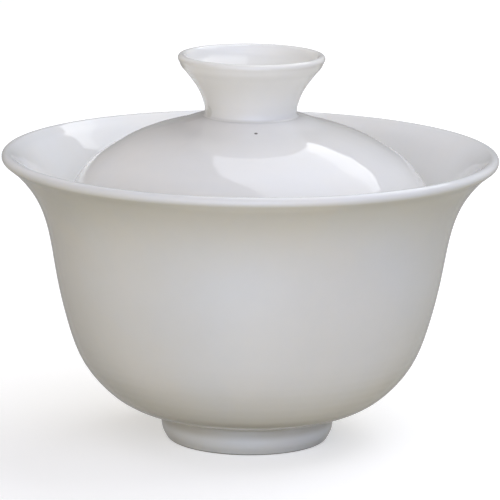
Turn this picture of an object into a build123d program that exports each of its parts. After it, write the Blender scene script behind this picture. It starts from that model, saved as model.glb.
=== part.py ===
"""Gaiwan: a lidded porcelain tea bowl, in millimetres, +Z up.

The origin is the centre of the foot ring on the surface the bowl stands on.
The bowl is a thrown cup with a flared, rounded lip on a separate foot ring.
The lid is a loose dome that sits down inside the flare, with a hollow trumpet
knob on top. Foot ring and knob are luted on with slip, so each meets its
neighbour face to face.
"""
from build123d import *
import math
import os

# ---------------------------------------------------------------- dimensions
# Bowl, overall
RIM_RADIUS = 46.0            # widest point of the rolled lip
LIP_ROUND = 0.98             # radius of the rolled lip
LIP_CENTRE_Z = 53.27         # height of the centre of the lip rounding
BASE_Z = 5.5                 # flat underside of the bowl, where the foot is luted

# Bowl outer wall from the foot joint up to just under the lip: radius, height
BOWL_OUTER = [
    (16.35, 5.50), (18.25, 5.72), (20.25, 6.16), (22.50, 7.00), (24.85, 8.35),
    (27.15, 10.27), (29.00, 12.27), (30.48, 14.27), (32.12, 17.37),
    (33.29, 20.60), (34.24, 23.92), (35.07, 27.28), (35.77, 30.64),
    (36.37, 34.04), (36.98, 37.51), (37.82, 41.08), (39.20, 44.79),
    (40.68, 47.36), (42.83, 50.04), (44.26, 51.43),
]

# Bowl inner wall from the lip down to the well: radius, height
BOWL_INNER = [
    (42.72, 52.83), (41.36, 51.44), (39.30, 48.72), (37.60, 45.75),
    (36.30, 42.60), (35.35, 39.00), (34.62, 35.20), (33.95, 31.60),
    (33.20, 28.00), (32.30, 24.60), (31.15, 21.30), (29.75, 18.35),
    (28.00, 15.80), (25.80, 13.45), (23.10, 11.40), (19.90, 9.95),
    (16.00, 9.05), (11.00, 8.60), (5.50, 8.45),
]
WELL_FLOOR_Z = 8.40          # floor of the well on the axis

# Foot ring
FOOT_INNER_TOP_R = 12.60     # inside radius where it meets the bowl
FOOT_INNER_BOTTOM_R = 13.25  # inside radius at the table, with draft
FOOT_CONTACT_OUTER_R = 14.70 # outside radius of the bare flat contact face
FOOT_OUTER = [               # outside wall from the table up: radius, height
    (15.14, 0.26), (15.45, 0.80), (15.85, 1.60), (16.10, 2.80),
    (16.22, 4.00), (16.35, 5.50),
]

# Lid dome
LID_SEAT_Z = 61.10           # flat on top of the dome that the knob is luted to
LID_OUTER = [                # outer skin from under the knob down to the edge
    (8.60, 61.10), (10.30, 60.80), (13.12, 59.85), (15.75, 59.10),
    (18.07, 58.42), (20.37, 57.58), (22.90, 56.43), (25.30, 55.07),
    (28.40, 53.05), (30.62, 50.92), (32.08, 49.00), (33.45, 46.80),
    (34.88, 44.22), (35.92, 42.05),
]
LID_INNER = [                # inner skin from the edge up to the crown
    (33.85, 41.75), (32.85, 43.60), (31.45, 46.10), (30.05, 48.15),
    (28.60, 49.85), (26.70, 51.65), (23.90, 53.52), (21.80, 54.62),
    (19.55, 55.60), (17.30, 56.40), (14.80, 57.10), (11.80, 57.85),
    (8.00, 58.50), (4.00, 58.85),
]
LID_CROWN_Z = 58.95          # underside of the crown on the axis
LID_EDGE_LOW_Z = 41.00       # lowest point of the rounded lid edge

# Lid knob, a hollow trumpet
KNOB_LIP_ROUND = 0.70
KNOB_LIP_R = 12.92           # radius of the circle the lip rounding is centred on
KNOB_LIP_Z = 71.67
KNOB_OUTER = [               # from the dome up to just under the lip
    (8.55, 61.10), (8.56, 62.41), (8.82, 63.55), (9.22, 64.71),
    (9.77, 65.87), (10.49, 67.03), (11.34, 68.18), (12.25, 69.32),
    (13.12, 70.42),
]
KNOB_INNER = [               # from the lip down to the floor of the cup
    (11.60, 70.55), (10.70, 69.50), (9.70, 68.30), (8.70, 67.00),
    (7.80, 65.70), (6.90, 64.60), (5.60, 63.75), (3.00, 63.35),
]
KNOB_FLOOR_Z = 63.28         # floor of the cup on the axis

# Tangent points where each wall runs into its lip rounding
LIP_CENTRE_R = RIM_RADIUS - LIP_ROUND


def on_circle(cr, cz, rad, degrees):
    """Point on a rounding circle in the profile plane, angle from outward."""
    a = math.radians(degrees)
    return (cr + rad * math.cos(a), cz + rad * math.sin(a))


lip_under = on_circle(LIP_CENTRE_R, LIP_CENTRE_Z, LIP_ROUND, -50)
lip_side = on_circle(LIP_CENTRE_R, LIP_CENTRE_Z, LIP_ROUND, 40)
lip_in = on_circle(LIP_CENTRE_R, LIP_CENTRE_Z, LIP_ROUND, 130)
knob_under = on_circle(KNOB_LIP_R, KNOB_LIP_Z, KNOB_LIP_ROUND, -35)
knob_top = on_circle(KNOB_LIP_R, KNOB_LIP_Z, KNOB_LIP_ROUND, 55)
knob_in = on_circle(KNOB_LIP_R, KNOB_LIP_Z, KNOB_LIP_ROUND, 140)

# ---------------------------------------------------------------- bowl body
with BuildPart() as bowl_body:
    with BuildSketch(Plane.XZ) as bowl_section:
        with BuildLine() as bowl_outline:
            # flat underside that the foot ring is luted to
            Line((0, BASE_Z), BOWL_OUTER[0])
            # belly, waist and flare
            Spline(*BOWL_OUTER, lip_under,
                   tangents=[(1.0, 0.06), (math.cos(math.radians(40)), math.sin(math.radians(40)))])
            # rolled lip
            ThreePointArc(lip_under, lip_side, lip_in)
            # inner wall down to the well
            Spline(lip_in, *BOWL_INNER, (0, WELL_FLOOR_Z),
                   tangents=[(-math.cos(math.radians(40)), -math.sin(math.radians(40))), (-1, 0)])
            Line((0, WELL_FLOOR_Z), (0, BASE_Z))
        make_face()
    revolve(axis=Axis.Z)
bowl_body.part.label = "bowl_body"

# ---------------------------------------------------------------- foot ring
with BuildPart() as foot_ring:
    with BuildSketch(Plane.XZ) as foot_section:
        with BuildLine() as foot_outline:
            # luted top face
            Line((FOOT_INNER_TOP_R, BASE_Z), FOOT_OUTER[-1])
            # tapered outside wall, then the rounded bottom corner
            Spline(*reversed(FOOT_OUTER))
            ThreePointArc(FOOT_OUTER[0],
                          ((FOOT_OUTER[0][0] + FOOT_CONTACT_OUTER_R) / 2 + 0.04, 0.075),
                          (FOOT_CONTACT_OUTER_R, 0))
            # bare contact face
            Line((FOOT_CONTACT_OUTER_R, 0), (FOOT_INNER_BOTTOM_R + 0.35, 0))
            # softened inside corner and drafted inside wall
            Line((FOOT_INNER_BOTTOM_R + 0.35, 0), (FOOT_INNER_BOTTOM_R, 0.35))
            Line((FOOT_INNER_BOTTOM_R, 0.35), (FOOT_INNER_TOP_R, BASE_Z))
        make_face()
    revolve(axis=Axis.Z)
foot_ring.part.label = "foot_ring"

# ---------------------------------------------------------------- lid dome
with BuildPart() as lid_dome:
    with BuildSketch(Plane.XZ) as dome_section:
        with BuildLine() as dome_outline:
            Line((0, LID_SEAT_Z), LID_OUTER[0])
            Spline(*LID_OUTER)
            # rounded edge that sits against the flare of the bowl
            ThreePointArc(LID_OUTER[-1],
                          ((LID_OUTER[-1][0] + LID_INNER[0][0]) / 2 + 0.18, LID_EDGE_LOW_Z),
                          LID_INNER[0])
            Spline(*LID_INNER, (0, LID_CROWN_Z), tangents=[(-0.48, 0.88), (-1, 0)])
            Line((0, LID_CROWN_Z), (0, LID_SEAT_Z))
        make_face()
    revolve(axis=Axis.Z)
lid_dome.part.label = "lid_dome"

# ---------------------------------------------------------------- lid knob
with BuildPart() as lid_knob:
    with BuildSketch(Plane.XZ) as knob_section:
        with BuildLine() as knob_outline:
            # luted bottom face
            Line((0, LID_SEAT_Z), KNOB_OUTER[0])
            # trumpet-shaped outside
            Spline(*KNOB_OUTER, knob_under,
                   tangents=[(0, 1), (math.cos(math.radians(55)), math.sin(math.radians(55)))])
            ThreePointArc(knob_under, knob_top, knob_in)
            # hollow cup
            Spline(knob_in, *KNOB_INNER, (0, KNOB_FLOOR_Z),
                   tangents=[(-math.cos(math.radians(50)), -math.sin(math.radians(50))), (-1, 0)])
            Line((0, KNOB_FLOOR_Z), (0, LID_SEAT_Z))
        make_face()
    revolve(axis=Axis.Z)
lid_knob.part.label = "lid_knob"

# ---------------------------------------------------------------- files
os.makedirs("parts", exist_ok=True)
export_step(bowl_body.part, "parts/bowl_body.step")
export_step(foot_ring.part, "parts/foot_ring.step")
export_step(lid_dome.part, "parts/lid_dome.step")
export_step(lid_knob.part, "parts/lid_knob.step")

# Clearance between the lid edge and the bowl's inner wall, and the tea the
# bowl holds up to the lid edge, as a check on the sizes.
overlap = bowl_body.part & lid_dome.part
print("lid to bowl distance mm", round(lid_dome.part.distance_to(bowl_body.part), 3),
      "overlap", 0.0 if not overlap else round(overlap.volume, 4))
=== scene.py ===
import math

import bmesh
import bpy
import numpy as np
from mathutils import Matrix, Vector


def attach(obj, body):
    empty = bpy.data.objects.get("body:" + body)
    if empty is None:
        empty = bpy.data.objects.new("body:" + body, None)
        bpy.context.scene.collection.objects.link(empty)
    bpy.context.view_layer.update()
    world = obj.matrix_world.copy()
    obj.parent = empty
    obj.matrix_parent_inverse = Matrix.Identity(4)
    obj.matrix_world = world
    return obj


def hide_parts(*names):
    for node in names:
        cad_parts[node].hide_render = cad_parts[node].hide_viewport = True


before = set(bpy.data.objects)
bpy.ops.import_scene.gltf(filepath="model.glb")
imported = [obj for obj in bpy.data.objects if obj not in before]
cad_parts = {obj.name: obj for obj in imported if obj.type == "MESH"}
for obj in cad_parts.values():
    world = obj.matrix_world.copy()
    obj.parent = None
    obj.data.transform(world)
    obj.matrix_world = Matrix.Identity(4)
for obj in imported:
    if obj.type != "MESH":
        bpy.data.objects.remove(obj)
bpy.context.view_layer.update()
MM = 0.001

# --------------------------------------------------------------------------
# Profiles, in millimetres: radius, height. The same sections as the CAD model.
# --------------------------------------------------------------------------
RIM_RADIUS, LIP_ROUND, LIP_CENTRE_Z, BASE_Z = 46.0, 0.98, 53.27, 5.5
BOWL_OUTER = [
    (16.35, 5.50), (18.25, 5.72), (20.25, 6.16), (22.50, 7.00), (24.85, 8.35),
    (27.15, 10.27), (29.00, 12.27), (30.48, 14.27), (32.12, 17.37),
    (33.29, 20.60), (34.24, 23.92), (35.07, 27.28), (35.77, 30.64),
    (36.37, 34.04), (36.98, 37.51), (37.82, 41.08), (39.20, 44.79),
    (40.68, 47.36), (42.83, 50.04), (44.26, 51.43),
]
BOWL_INNER = [
    (42.72, 52.83), (41.36, 51.44), (39.30, 48.72), (37.60, 45.75),
    (36.30, 42.60), (35.35, 39.00), (34.62, 35.20), (33.95, 31.60),
    (33.20, 28.00), (32.30, 24.60), (31.15, 21.30), (29.75, 18.35),
    (28.00, 15.80), (25.80, 13.45), (23.10, 11.40), (19.90, 9.95),
    (16.00, 9.05), (11.00, 8.60), (5.50, 8.45), (0.0, 8.40),
]
LID_OUTER = [
    (8.60, 61.10), (10.30, 60.80), (13.12, 59.85), (15.75, 59.10),
    (18.07, 58.42), (20.37, 57.58), (22.90, 56.43), (25.30, 55.07),
    (28.40, 53.05), (30.62, 50.92), (32.08, 49.00), (33.45, 46.80),
    (34.88, 44.22), (35.92, 42.05),
]
LID_INNER = [
    (33.85, 41.75), (32.85, 43.60), (31.45, 46.10), (30.05, 48.15),
    (28.60, 49.85), (26.70, 51.65), (23.90, 53.52), (21.80, 54.62),
    (19.55, 55.60), (17.30, 56.40), (14.80, 57.10), (11.80, 57.85),
    (8.00, 58.50), (4.00, 58.85), (0.0, 58.95),
]
LID_SEAT_Z, LID_EDGE_LOW_Z = 61.10, 41.00
KNOB_LIP_ROUND, KNOB_LIP_R, KNOB_LIP_Z = 0.70, 12.92, 71.67
KNOB_OUTER = [
    (8.55, 61.10), (8.56, 62.41), (8.82, 63.55), (9.22, 64.71),
    (9.77, 65.87), (10.49, 67.03), (11.34, 68.18), (12.25, 69.32),
    (13.12, 70.42),
]
KNOB_INNER = [
    (11.60, 70.55), (10.70, 69.50), (9.70, 68.30), (8.70, 67.00),
    (7.80, 65.70), (6.90, 64.60), (5.60, 63.75), (3.00, 63.35), (0.0, 63.28),
]
FOOT_OUTER = [
    (15.14, 0.26), (15.45, 0.80), (15.85, 1.60), (16.10, 2.80),
    (16.22, 4.00), (16.35, 5.50),
]


# --------------------------------------------------------------------------
# Curves and revolved shells
# --------------------------------------------------------------------------
def spline(points, t0=None, t1=None, step=0.5):
    """Smooth C2 curve through points by chord length, with optional end tangents, sampled about every step mm."""
    p = np.array(points, float)
    h = np.hypot(*np.diff(p, axis=0).T)
    n = len(p)
    a = np.zeros((n, n))
    b = np.zeros((n, 2))
    for i in range(1, n - 1):
        a[i, i - 1], a[i, i], a[i, i + 1] = h[i], 2 * (h[i - 1] + h[i]), h[i - 1]
        b[i] = 3 * (h[i] * (p[i] - p[i - 1]) / h[i - 1] + h[i - 1] * (p[i + 1] - p[i]) / h[i])
    if t0 is None:
        a[0, 0], a[0, 1] = 2, 1
        b[0] = 3 * (p[1] - p[0]) / h[0]
    else:
        a[0, 0], b[0] = 1, np.array(t0) / np.hypot(*t0)
    if t1 is None:
        a[-1, -1], a[-1, -2] = 2, 1
        b[-1] = 3 * (p[-1] - p[-2]) / h[-1]
    else:
        a[-1, -1], b[-1] = 1, np.array(t1) / np.hypot(*t1)
    m = np.linalg.solve(a, b)
    out = [p[0]]
    for i in range(n - 1):
        k = max(1, int(math.ceil(h[i] / step)))
        for j in range(1, k + 1):
            s = j / k
            out.append(
                (2 * s**3 - 3 * s**2 + 1) * p[i] + (s**3 - 2 * s**2 + s) * h[i] * m[i]
                + (3 * s**2 - 2 * s**3) * p[i + 1] + (s**3 - s**2) * h[i] * m[i + 1]
            )
    return [tuple(q) for q in out]


def arc(cr, cz, rad, a0, a1, n):
    """n + 1 points round a circle in the profile plane, angles in degrees from outward."""
    return [
        (cr + rad * math.cos(math.radians(a)), cz + rad * math.sin(math.radians(a)))
        for a in np.linspace(a0, a1, n + 1)
    ]


def arc3(a, b, c, n):
    """n + 1 points on the arc through three points."""
    (ax, ay), (bx, by), (cx, cy) = a, b, c
    d = 2 * (ax * (by - cy) + bx * (cy - ay) + cx * (ay - by))
    ux = ((ax**2 + ay**2) * (by - cy) + (bx**2 + by**2) * (cy - ay) + (cx**2 + cy**2) * (ay - by)) / d
    uy = ((ax**2 + ay**2) * (cx - bx) + (bx**2 + by**2) * (ax - cx) + (cx**2 + cy**2) * (bx - ax)) / d
    rad = math.hypot(ax - ux, ay - uy)
    t0, tb, t1 = (math.atan2(q[1] - uy, q[0] - ux) for q in (a, b, c))
    turn = (t1 - t0) % (2 * math.pi)
    if (tb - t0) % (2 * math.pi) > turn:
        turn -= 2 * math.pi
    return [(ux + rad * math.cos(t0 + turn * k / n), uy + rad * math.sin(t0 + turn * k / n)) for k in range(n + 1)]


def chain(*runs):
    """One polyline from several, dropping repeated points."""
    out = []
    for run in runs:
        for q in run:
            if not out or math.hypot(q[0] - out[-1][0], q[1] - out[-1][1]) > 1e-4:
                out.append((float(q[0]), float(q[1])))
    return out


def hand_turned(r, z, th, seed, amount):
    """Small unevenness of a thrown and turned wall, in millimetres off the true radius."""
    if r < 0.5:
        return 0.0
    fade = min(1.0, r / 8.0)
    s = seed * 1.7
    slow = 0.50 * math.cos(2 * th + s) + 0.30 * math.cos(3 * th + 2.1 * s + z * 0.05)
    lumps = 0.22 * math.sin(5 * th + z * 0.16 + s) + 0.14 * math.sin(9 * th - z * 0.23 + 3 * s)
    lumps += 0.10 * math.sin(14 * th + z * 0.31 + 5 * s)
    return amount * fade * (slow + lumps - 1.1)


def revolve(name, profile, seed, amount=0.035, segments=256, rings=None, foot_at=None):
    """Closed shell turned about +Z from a profile that starts and ends on the axis, or that closes on itself."""
    bm = bmesh.new()
    closed = profile[0][0] > 1e-6
    cols = []
    for r, z in profile:
        if r < 1e-6:
            cols.append([bm.verts.new((0, 0, z * MM))])
            continue
        ring = []
        for k in range(segments):
            th = 2 * math.pi * k / segments
            rr = r + hand_turned(r, z, th, seed, amount)
            if rings:
                rr += rings(r, z, th)
            ring.append(bm.verts.new((rr * math.cos(th) * MM, rr * math.sin(th) * MM, z * MM)))
        cols.append(ring)
    pairs = list(zip(cols[:-1], cols[1:]))
    if closed:
        pairs.append((cols[-1], cols[0]))
    for a, b in pairs:
        for k in range(segments):
            j = (k + 1) % segments
            if len(a) == 1 and len(b) > 1:
                bm.faces.new((a[0], b[j], b[k]))
            elif len(b) == 1 and len(a) > 1:
                bm.faces.new((a[k], a[j], b[0]))
            elif len(a) > 1:
                bm.faces.new((a[k], a[j], b[j], b[k]))
    bmesh.ops.recalc_face_normals(bm, faces=bm.faces)
    for f in bm.faces:
        f.smooth = True
    me = bpy.data.meshes.new(name)
    bm.to_mesh(me)
    bm.free()
    ob = bpy.data.objects.new(name, me)
    bpy.context.scene.collection.objects.link(ob)
    return ob


# --------------------------------------------------------------------------
# Materials
# --------------------------------------------------------------------------
class Nodes:
    """Short helper for building a node tree."""

    def __init__(self, material):
        material.use_nodes = True
        self.t = material.node_tree
        self.t.nodes.clear()
        self.out = self.t.nodes.new("ShaderNodeOutputMaterial")
        self.bsdf = self.t.nodes.new("ShaderNodeBsdfPrincipled")
        self.t.links.new(self.bsdf.outputs[0], self.out.inputs["Surface"])
        self.co = self.t.nodes.new("ShaderNodeTexCoord").outputs["Object"]

    def link(self, a, b):
        self.t.links.new(a, b)

    def noise(self, scale, detail=2.0, rough=0.5, distort=0.0, vec=None):
        n = self.t.nodes.new("ShaderNodeTexNoise")
        n.inputs["Scale"].default_value = scale
        n.inputs["Detail"].default_value = detail
        n.inputs["Roughness"].default_value = rough
        n.inputs["Distortion"].default_value = distort
        self.link(vec or self.co, n.inputs["Vector"])
        return n.outputs["Fac"]

    def voronoi(self, scale, out="Distance"):
        n = self.t.nodes.new("ShaderNodeTexVoronoi")
        n.inputs["Scale"].default_value = scale
        self.link(self.co, n.inputs["Vector"])
        return n.outputs[out]

    def ramp(self, value, lo, hi, a=0.0, b=1.0, smooth=True):
        n = self.t.nodes.new("ShaderNodeMapRange")
        n.interpolation_type = "SMOOTHSTEP" if smooth else "LINEAR"
        n.inputs["From Min"].default_value = lo
        n.inputs["From Max"].default_value = hi
        n.inputs["To Min"].default_value = a
        n.inputs["To Max"].default_value = b
        self.link(value, n.inputs["Value"])
        return n.outputs["Result"]

    def math(self, op, a, b=None, c=None):
        n = self.t.nodes.new("ShaderNodeMath")
        n.operation = op
        for i, v in enumerate((a, b, c)):
            if v is None:
                continue
            if isinstance(v, (int, float)):
                n.inputs[i].default_value = v
            else:
                self.link(v, n.inputs[i])
        return n.outputs[0]

    def mix(self, fac, a, b):
        n = self.t.nodes.new("ShaderNodeMix")
        n.data_type = "RGBA"
        for sock, v in ((0, fac), (6, a), (7, b)):
            if isinstance(v, (int, float)):
                n.inputs[sock].default_value = v
            elif isinstance(v, tuple):
                n.inputs[sock].default_value = (*v, 1.0)
            else:
                self.link(v, n.inputs[sock])
        return n.outputs[2]

    def split(self):
        n = self.t.nodes.new("ShaderNodeSeparateXYZ")
        self.link(self.co, n.inputs[0])
        return n.outputs

    def dist_to(self, point):
        n = self.t.nodes.new("ShaderNodeVectorMath")
        n.operation = "DISTANCE"
        self.link(self.co, n.inputs[0])
        n.inputs[1].default_value = point
        return n.outputs["Value"]

    def bump(self, height, strength, distance, normal=None):
        n = self.t.nodes.new("ShaderNodeBump")
        n.inputs["Strength"].default_value = strength
        n.inputs["Distance"].default_value = distance
        self.link(height, n.inputs["Height"])
        if normal is not None:
            self.link(normal, n.inputs["Normal"])
        return n.outputs["Normal"]

    def radius(self):
        x, y, _ = self.split()
        return self.math("SQRT", self.math("ADD", self.math("MULTIPLY", x, x), self.math("MULTIPLY", y, y)))


def glaze(name, tint=(0.0, 0.0, 0.0), specks_and_painted_reflections=(), crease_shade_and_pool=(), rings=None):
    """Clear gloss glaze over white porcelain. The pool bands, each (low z, high z, outermost radius, depth) in mm, are
    painted shade in creases and recesses, where the glaze also gathers thick.
    """
    m = bpy.data.materials.new(name)
    n = Nodes(m)
    cool = (0.795 + tint[0], 0.804 + tint[1], 0.806 + tint[2])
    warm = (0.814 + tint[0], 0.808 + tint[1], 0.786 + tint[2])
    cloud = n.noise(34.0, 3.0, 0.55, 0.4)
    colour = n.mix(n.ramp(cloud, 0.36, 0.64), cool, warm)
    # faint milky mottling where the glaze runs thicker and thinner
    mottle = n.ramp(n.noise(210.0, 4.0, 0.6, 0.2), 0.35, 0.70, 0.0, 0.20)
    colour = n.mix(mottle, colour, (0.755 + tint[0], 0.767 + tint[1], 0.764 + tint[2]))
    z = n.split()[2]
    # darker, warmer bands: painted shade in creases and recesses, where the glaze also gathers thick
    if crease_shade_and_pool:
        rad = n.radius()
        total = None
        for lo, hi, rmax, depth in crease_shade_and_pool:
            mid, half = (lo + hi) / 2 * MM, (hi - lo) / 2 * MM
            near = n.ramp(n.math("ABSOLUTE", n.math("SUBTRACT", z, mid)), half * 0.3, half, depth, 0.0)
            inside = n.ramp(rad, (rmax - 0.5) * MM, (rmax + 0.8) * MM, 1.0, 0.0)
            here = n.math("MULTIPLY", near, inside)
            total = here if total is None else n.math("MAXIMUM", total, here)
        # the painted crease shade and the pooled glaze are a little uneven round the ring
        uneven = n.ramp(n.noise(120.0, 2.0, 0.5), 0.3, 0.7, 0.80, 1.0)
        colour = n.mix(n.math("MULTIPLY", total, uneven), colour, (0.50, 0.475, 0.41))
    # scattered iron specks, most of them too faint to notice
    cell = n.voronoi(150.0)
    rare = n.t.nodes.new("ShaderNodeTexWhiteNoise")
    n.link(n.voronoi(150.0, "Position"), rare.inputs["Vector"])
    mark = n.math("MULTIPLY", n.ramp(cell, 0.010, 0.020, 1.0, 0.0), n.math("GREATER_THAN", rare.outputs["Value"], 0.985))
    colour = n.mix(n.math("MULTIPLY", mark, 0.45), colour, (0.36, 0.30, 0.22))
    # listed marks: real iron specks, and on the lid and knob painted dark reflections and a painted glint
    for point, size, dark, shade in specks_and_painted_reflections:
        spot = n.ramp(n.dist_to(tuple(v * MM for v in point)), size * 0.55 * MM, size * 1.1 * MM, dark, 0.0)
        colour = n.mix(spot, colour, shade)
    n.link(colour, n.bsdf.inputs["Base Color"])

    rough = n.ramp(n.noise(55.0, 3.0, 0.6), 0.30, 0.72, 0.028, 0.060)
    fine = n.ramp(n.noise(900.0, 2.0, 0.5), 0.40, 0.75, 0.0, 0.020)
    n.link(n.math("ADD", rough, fine), n.bsdf.inputs["Roughness"])
    n.bsdf.inputs["IOR"].default_value = 1.52
    n.bsdf.inputs["Subsurface Weight"].default_value = 0.22
    n.bsdf.inputs["Subsurface Radius"].default_value = (1.0, 0.92, 0.78)
    n.bsdf.inputs["Subsurface Scale"].default_value = 0.0022
    n.bsdf.inputs["Coat Weight"].default_value = 0.30
    n.bsdf.inputs["Coat Roughness"].default_value = 0.02

    # soft waviness of the fired glaze, then a very fine skin and a few pinholes
    normal = n.bump(n.noise(95.0, 2.0, 0.5), 0.20, 0.00030)
    normal = n.bump(n.noise(520.0, 3.0, 0.55), 0.10, 0.00004, normal)
    if rings:
        lo, hi, scale, strength = rings
        w = n.t.nodes.new("ShaderNodeTexWave")
        w.wave_type, w.bands_direction, w.wave_profile = "BANDS", "Z", "SIN"
        w.inputs["Scale"].default_value = scale
        w.inputs["Distortion"].default_value = 0.8
        w.inputs["Detail"].default_value = 2.0
        w.inputs["Detail Scale"].default_value = 0.6
        n.link(n.co, w.inputs["Vector"])
        band = n.math("MULTIPLY", n.ramp(z, lo * MM, (lo + 3) * MM), n.ramp(z, (hi - 4) * MM, hi * MM, 1.0, 0.0))
        normal = n.bump(n.math("MULTIPLY", w.outputs["Fac"], band), strength, 0.00006, normal)
    pin = n.ramp(n.voronoi(330.0), 0.02, 0.06, 0.0, 1.0)
    normal = n.bump(pin, 0.06, 0.00003, normal)
    n.link(normal, n.bsdf.inputs["Normal"])
    return m


def biscuit(name):
    """Bare fired porcelain, wiped clean of glaze where it meets the table."""
    m = bpy.data.materials.new(name)
    n = Nodes(m)
    grain = n.noise(1400.0, 4.0, 0.7)
    stain = n.noise(90.0, 4.0, 0.6, 0.6)
    colour = n.mix(n.ramp(grain, 0.35, 0.68), (0.70, 0.665, 0.60), (0.80, 0.775, 0.72))
    colour = n.mix(n.ramp(stain, 0.50, 0.72, 0.0, 0.55), colour, (0.52, 0.45, 0.36))
    # painted contact shadow along the outer edge, with some table grime
    contact_shadow_and_grime = n.ramp(n.radius(), 14.72 * MM, 14.95 * MM, 0.0, 0.85)
    colour = n.mix(contact_shadow_and_grime, colour, (0.30, 0.29, 0.29))
    n.link(colour, n.bsdf.inputs["Base Color"])
    n.link(n.ramp(grain, 0.3, 0.7, 0.55, 0.80), n.bsdf.inputs["Roughness"])
    n.link(n.bump(grain, 0.5, 0.00006), n.bsdf.inputs["Normal"])
    return m


# --------------------------------------------------------------------------
# The bowl
# --------------------------------------------------------------------------
lip_r = RIM_RADIUS - LIP_ROUND
lip = arc(lip_r, LIP_CENTRE_Z, LIP_ROUND, -50, 130, 18)
outer = spline(BOWL_OUTER + [lip[0]], t0=(1.0, 0.06), t1=(math.cos(math.radians(40)), math.sin(math.radians(40))))
inner = spline([lip[-1]] + BOWL_INNER, t0=(-math.cos(math.radians(40)), -math.sin(math.radians(40))), t1=(-1, 0), step=0.7)
# underside inside the foot ring: a shallow turned well that rounds into the ring
under = [(0.0, 5.62), (3.0, 5.60), (6.0, 5.56), (9.0, 5.52), (11.0, 5.505), (12.2, 5.50), (14.0, 5.50)]


def bowl_rings(r, z, th):
    """Turning marks low on the outside wall and finger rings inside, a few hundredths of a millimetre."""
    if z < 24 and r > 17 and z < (r - 16.0) * 2.0 + 6:
        k = max(0.0, min(1.0, (24 - z) / 8)) * max(0.0, min(1.0, (z - 5.6) / 1.5))
        return 0.010 * k * math.sin(z * 3.9 + 0.35 * math.sin(th + 0.4)) - 0.010
    return 0.0


bowl = revolve("bowl_porcelain", chain(under, outer, lip, inner), seed=1.0, amount=0.035, rings=bowl_rings)
# the pool bands here are painted shade under the belly above the foot and on the inside floor, where the glaze also
# gathers thick
bowl_glaze = glaze(
    "white_glaze_bowl",
    specks_and_painted_reflections=[((-12.6, -33.9, 35.0), 0.22, 0.55, (0.42, 0.38, 0.33)), ((20.0, 29.0, 30.0), 0.20, 0.6, (0.40, 0.35, 0.28)),
            ((-31.0, 18.0, 24.0), 0.16, 0.6, (0.45, 0.38, 0.30))],
    crease_shade_and_pool=[(3.4, 9.6, 26.0, 0.50), (7.9, 9.4, 17.0, 0.18)],
    rings=(6.0, 26.0, 70.0, 0.25),
)
bowl.data.materials.append(bowl_glaze)

# foot ring: glazed sides with a fillet under the belly, painted shade and pooled glaze in it, bare contact face
fillet = [(16.35, 4.75), (16.42, 5.00), (16.58, 5.22), (16.85, 5.40), (17.30, 5.52), (17.6, 5.60)]
foot_side = spline(FOOT_OUTER[:-1] + [fillet[0]], step=0.25)
corner = arc3((14.70, 0.0), ((15.14 + 14.70) / 2 + 0.04, 0.075), (15.14, 0.26), 6)
foot_profile = chain(
    [(13.60, 0.0), (13.95, 0.0), (14.32, 0.0)], corner, foot_side, fillet,
    [(16.9, 5.75), (15.0, 5.75), (13.0, 5.75), (11.75, 5.62), (12.05, 5.47), (12.32, 5.24), (12.50, 4.95),
     (12.62, 4.5), (12.78, 3.4), (12.93, 2.2), (13.08, 1.2), (13.20, 0.55), (13.27, 0.30), (13.40, 0.10)],
)
foot = revolve("foot_ring_porcelain", foot_profile, seed=2.3, amount=0.03)
# the foot's glaze is set a little bluer than the bowl's as painted cool light, and its top is darkened as painted shade
# under the belly, where the glaze also gathers thick
foot.data.materials.append(glaze("white_glaze_foot", tint=(-0.012, 0.0, 0.016), crease_shade_and_pool=[(2.6, 7.0, 18.5, 0.60)]))
foot.data.materials.append(biscuit("bare_foot"))
for f in foot.data.polygons:
    c = f.center
    if c.z < 0.00030 and math.hypot(c.x, c.y) < 0.01518:
        f.material_index = 1

# --------------------------------------------------------------------------
# The lid
# --------------------------------------------------------------------------
edge_mid = ((LID_OUTER[-1][0] + LID_INNER[0][0]) / 2 + 0.18, LID_EDGE_LOW_Z)
dome_top = [(0.0, 61.10), (3.0, 61.10), (6.0, 61.10), (8.0, 61.10)]
dome = revolve(
    "lid_dome_porcelain",
    chain(dome_top, spline(LID_OUTER, step=0.45), arc3(LID_OUTER[-1], edge_mid, LID_INNER[0], 14),
          spline(LID_INNER, t0=(-0.48, 0.88), t1=(-1, 0), step=0.6)),
    seed=3.1, amount=0.035,
)
# the lid's glaze is set a little darker and warmer than the bowl's as painted shade; the grey spot left of the knob is
# a painted dark reflection, the light speck at the front a painted glint, and the band round the knob base painted
# shade in the crease, where the glaze also gathers thick
lid_glaze = glaze(
    "white_glaze_lid",
    tint=(-0.003, -0.015, -0.029),
    specks_and_painted_reflections=[((0.98, -13.05, 59.86), 0.38, 0.92, (0.10, 0.085, 0.07)), ((-10.6, -2.0, 60.75), 2.4, 0.22, (0.50, 0.46, 0.45)), ((-24.0, 12.0, 55.0), 0.16, 0.5, (0.4, 0.34, 0.26)),
            ((6.2, -27.2, 53.6), 0.14, 0.4, (0.93, 0.93, 0.92))],
    crease_shade_and_pool=[(60.75, 61.6, 9.3, 0.22)],
    rings=(44.0, 62.0, 60.0, 0.12),
)
dome.data.materials.append(lid_glaze)

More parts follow.
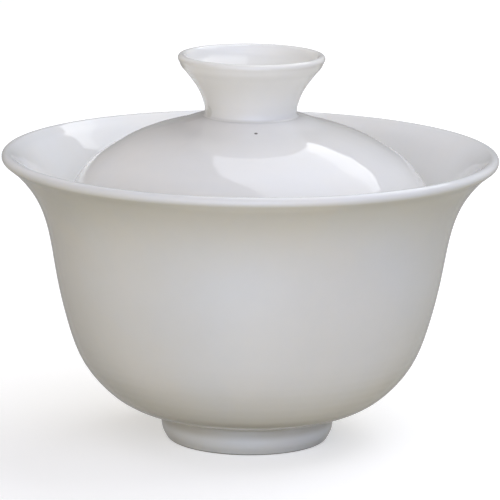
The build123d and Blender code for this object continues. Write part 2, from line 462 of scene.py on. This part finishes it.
knob_lip = arc(KNOB_LIP_R, KNOB_LIP_Z, KNOB_LIP_ROUND, -35, 140, 16)
base_fillet = [(9.25, 60.98), (9.00, 61.03), (8.82, 61.12), (8.69, 61.25), (8.60, 61.42), (8.56, 61.62)]
knob_outer = chain(
    base_fillet,
    spline([(8.56, 61.62)] + KNOB_OUTER[1:] + [knob_lip[0]], t0=(0, 1),
           t1=(math.cos(math.radians(55)), math.sin(math.radians(55))), step=0.3),
)
knob_inner = spline([knob_lip[-1]] + KNOB_INNER, t0=(-math.cos(math.radians(50)), -math.sin(math.radians(50))), t1=(-1, 0), step=0.4)
knob = revolve("lid_knob_porcelain", chain([(0.0, 60.7), (5.0, 60.7), (9.0, 60.7)], knob_outer, knob_lip, knob_inner),
               seed=4.7, amount=0.03, segments=192)
# the knob's glaze is set lighter and warmer than the bowl's as painted warm light; the grey spot low on its left is a
# painted dark reflection, and the bands at its base and in its cup are painted shade, where the glaze also gathers
# thick
knob.data.materials.append(glaze("white_glaze_knob", tint=(0.050, 0.038, 0.008), specks_and_painted_reflections=[((-7.7, -3.7, 62.2), 1.3, 0.38, (0.46, 0.45, 0.36))],
                                 crease_shade_and_pool=[(60.75, 61.6, 9.3, 0.22), (63.0, 64.2, 7.0, 0.15)]))

for piece, body, node in ((bowl, "bowl", "bowl_body"), (foot, "bowl", "foot_ring"), (dome, "lid", "lid_dome"), (knob, "lid", "lid_knob")):
    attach(piece, body)
    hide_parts(node)

# --------------------------------------------------------------------------
# Floor, lights, camera
# --------------------------------------------------------------------------
def disc(name, z, hole=0.0125, radius=6.0, segments=128):
    """Flat floor with a small opening inside the foot ring, so that light reaches the underside in views from below."""
    bm = bmesh.new()
    loops = [
        [bm.verts.new((r * math.cos(2 * math.pi * k / segments), r * math.sin(2 * math.pi * k / segments), z)) for k in range(segments)]
        for r in (hole, 0.2, radius)
    ]
    for a, b in zip(loops[:-1], loops[1:]):
        for k in range(segments):
            j = (k + 1) % segments
            bm.faces.new((a[k], b[k], b[j], a[j]))
    me = bpy.data.meshes.new(name)
    bm.to_mesh(me)
    bm.free()
    ob = bpy.data.objects.new(name, me)
    bpy.context.scene.collection.objects.link(ob)
    return ob


def see_through_from_below(n):
    back = n.t.nodes.new("ShaderNodeNewGeometry").outputs["Backfacing"]
    clear = n.t.nodes.new("ShaderNodeBsdfTransparent")
    pick = n.t.nodes.new("ShaderNodeMixShader")
    n.link(back, pick.inputs[0])
    n.link(n.bsdf.outputs[0], pick.inputs[1])
    n.link(clear.outputs[0], pick.inputs[2])
    n.link(pick.outputs[0], n.out.inputs["Surface"])


# the pale floor that is seen, and just under it the warmer table top that the light bounces off
floor = disc("floor", 0.0)
fm = bpy.data.materials.new("pale_floor")
n = Nodes(fm)
n.link(n.mix(n.noise(3.0, 3.0), (0.79, 0.79, 0.79), (0.81, 0.81, 0.81)), n.bsdf.inputs["Base Color"])
n.bsdf.inputs["Roughness"].default_value = 0.9
n.bsdf.inputs["Specular IOR Level"].default_value = 0.0
n.bsdf.inputs["Emission Color"].default_value = (1.0, 1.0, 1.0, 1.0)
n.bsdf.inputs["Emission Strength"].default_value = 0.42
see_through_from_below(n)
floor.data.materials.append(fm)
floor.visible_diffuse = floor.visible_glossy = floor.visible_transmission = floor.visible_shadow = False

table = disc("table_top", -0.0003)
tm = bpy.data.materials.new("table_top")
n = Nodes(tm)
n.link(n.mix(n.noise(4.0, 3.0), (0.65, 0.592, 0.415), (0.67, 0.608, 0.425)), n.bsdf.inputs["Base Color"])
n.bsdf.inputs["Roughness"].default_value = 0.9
n.bsdf.inputs["Specular IOR Level"].default_value = 0.0
see_through_from_below(n)
table.data.materials.append(tm)
table.visible_camera = table.visible_glossy = False

# soft room light: broad lobes of light, each by its direction, sharpness and colour
ROOM = [
    ((0.0, 0.0, 1.0), 3, (0.149, 0.122, 0.063)),
    ((0.0, -1.0, 0.35), 6, (1.074, 1.128, 1.329)),
    ((-0.8, -0.8, 0.35), 6, (0.924, 0.869, 0.795)),
    ((0.8, -0.8, 0.35), 6, (0.723, 0.766, 0.971)),
    ((-0.8, 0.8, 0.35), 6, (0.511, 0.506, 0.526)),
    ((0.8, 0.8, 0.35), 6, (0.644, 0.645, 0.663)),
    ((0.0, -1.0, -0.45), 6, (0.60, 0.74, 0.98)),
    ((-1.0, -0.1, -0.4), 6, (0.32, 0.266, 0.194)),
    ((1.0, -0.1, -0.4), 6, (0.06, 0.11, 0.27)),
    ((0.0, 1.0, -0.4), 6, (0.325, 0.322, 0.323)),
    ((0.0, -1.0, 0.0), 12, (0.43, 0.49, 0.73)),
    ((0.0, -0.7, 0.7), 4, (0.199, 0.2, 0.247)),
    ((-0.6, 0.6, 0.7), 6, (0.192, 0.171, 0.168)),
]
world = bpy.data.worlds.new("studio")
bpy.context.scene.world = world
world.use_nodes = True
wt = world.node_tree
wt.nodes.clear()
wo = wt.nodes.new("ShaderNodeOutputWorld")
wb = wt.nodes.new("ShaderNodeBackground")
wt.links.new(wb.outputs[0], wo.inputs[0])


def vector_math(op, a, b=None):
    node = wt.nodes.new("ShaderNodeVectorMath")
    node.operation = op
    for sock, v in ((0, a), (1, b)):
        if isinstance(v, (tuple, Vector)):
            node.inputs[sock].default_value = v
        elif v is not None:
            wt.links.new(v, node.inputs[sock])
    return node


heading = vector_math("NORMALIZE", wt.nodes.new("ShaderNodeTexCoord").outputs["Generated"]).outputs[0]
total = None
for axis, sharp, colour in ROOM:
    towards = wt.nodes.new("ShaderNodeMath")
    towards.operation = "MAXIMUM"
    wt.links.new(vector_math("DOT_PRODUCT", heading, Vector(axis).normalized()).outputs["Value"], towards.inputs[0])
    towards.inputs[1].default_value = 0.0
    lobe = wt.nodes.new("ShaderNodeMath")
    lobe.operation = "POWER"
    wt.links.new(towards.outputs[0], lobe.inputs[0])
    lobe.inputs[1].default_value = sharp
    part = vector_math("SCALE", colour)
    wt.links.new(lobe.outputs[0], part.inputs["Scale"])
    total = part.outputs[0] if total is None else vector_math("ADD", total, part.outputs[0]).outputs[0]
wt.links.new(total, wb.inputs["Color"])


def softbox(name, points, height, radiance):
    """Flat glowing panel overhead from its plan outline, in millimetres."""
    bm = bmesh.new()
    bm.faces.new([bm.verts.new((x * MM, y * MM, height * MM)) for x, y in points])
    me = bpy.data.meshes.new(name)
    bm.to_mesh(me)
    bm.free()
    ob = bpy.data.objects.new(name, me)
    bpy.context.scene.collection.objects.link(ob)
    m = bpy.data.materials.new(name)
    m.use_nodes = True
    t = m.node_tree
    t.nodes.clear()
    glow = t.nodes.new("ShaderNodeEmission")
    glow.inputs["Color"].default_value = (*radiance, 1.0)
    out = t.nodes.new("ShaderNodeOutputMaterial")
    t.links.new(glow.outputs[0], out.inputs["Surface"])
    me.materials.append(m)
    ob.visible_camera = ob.visible_shadow = False
    return ob


WINDOW = [
    (-116, 211), (-106, 344), (20, 515), (148, 685), (220, 650), (283, 601), (386, 597), (449, 543), (587, 442),
    (690, 400), (700, 215), (860, -60), (112, -260), (68, -169),
]
WINDOW_BRIGHT = [
    (148, 685), (220, 650), (283, 601), (386, 597), (449, 543), (587, 442), (690, 400), (655, 240), (555, 290),
    (377, 335), (245, 385), (160, 480),
]
softbox("window_softbox", WINDOW, 600, (1.62, 1.64, 1.70))
softbox("window_bright", WINDOW_BRIGHT, 590, (2.35, 2.38, 2.42))
# neutral light for the recess inside the foot, through the opening in the floor
ring = [(150 * math.cos(math.pi * k / 16), 150 * math.sin(math.pi * k / 16)) for k in range(32)]
softbox("under_foot", ring, -40, (0.60, 0.60, 0.60)).visible_glossy = False

cam = bpy.data.cameras.new("camera")
cam.lens, cam.sensor_width = 262.85, 36.0
cam.clip_start, cam.clip_end = 0.01, 50.0
cam_ob = bpy.data.objects.new("camera", cam)
bpy.context.scene.collection.objects.link(cam_ob)
eye, aim = Vector((0.000157, -0.66485, 0.17528)), Vector((0.000157, 0.0, 0.03553))
rot = (aim - eye).to_track_quat("-Z", "Y").to_matrix().to_4x4()
cam_ob.matrix_world = Matrix.Translation(eye) @ rot @ Matrix.Rotation(math.radians(0.717), 4, "Z")
bpy.context.scene.camera = cam_ob
bpy.context.scene.view_settings.view_transform = "Standard"

bpy.context.view_layer.update()
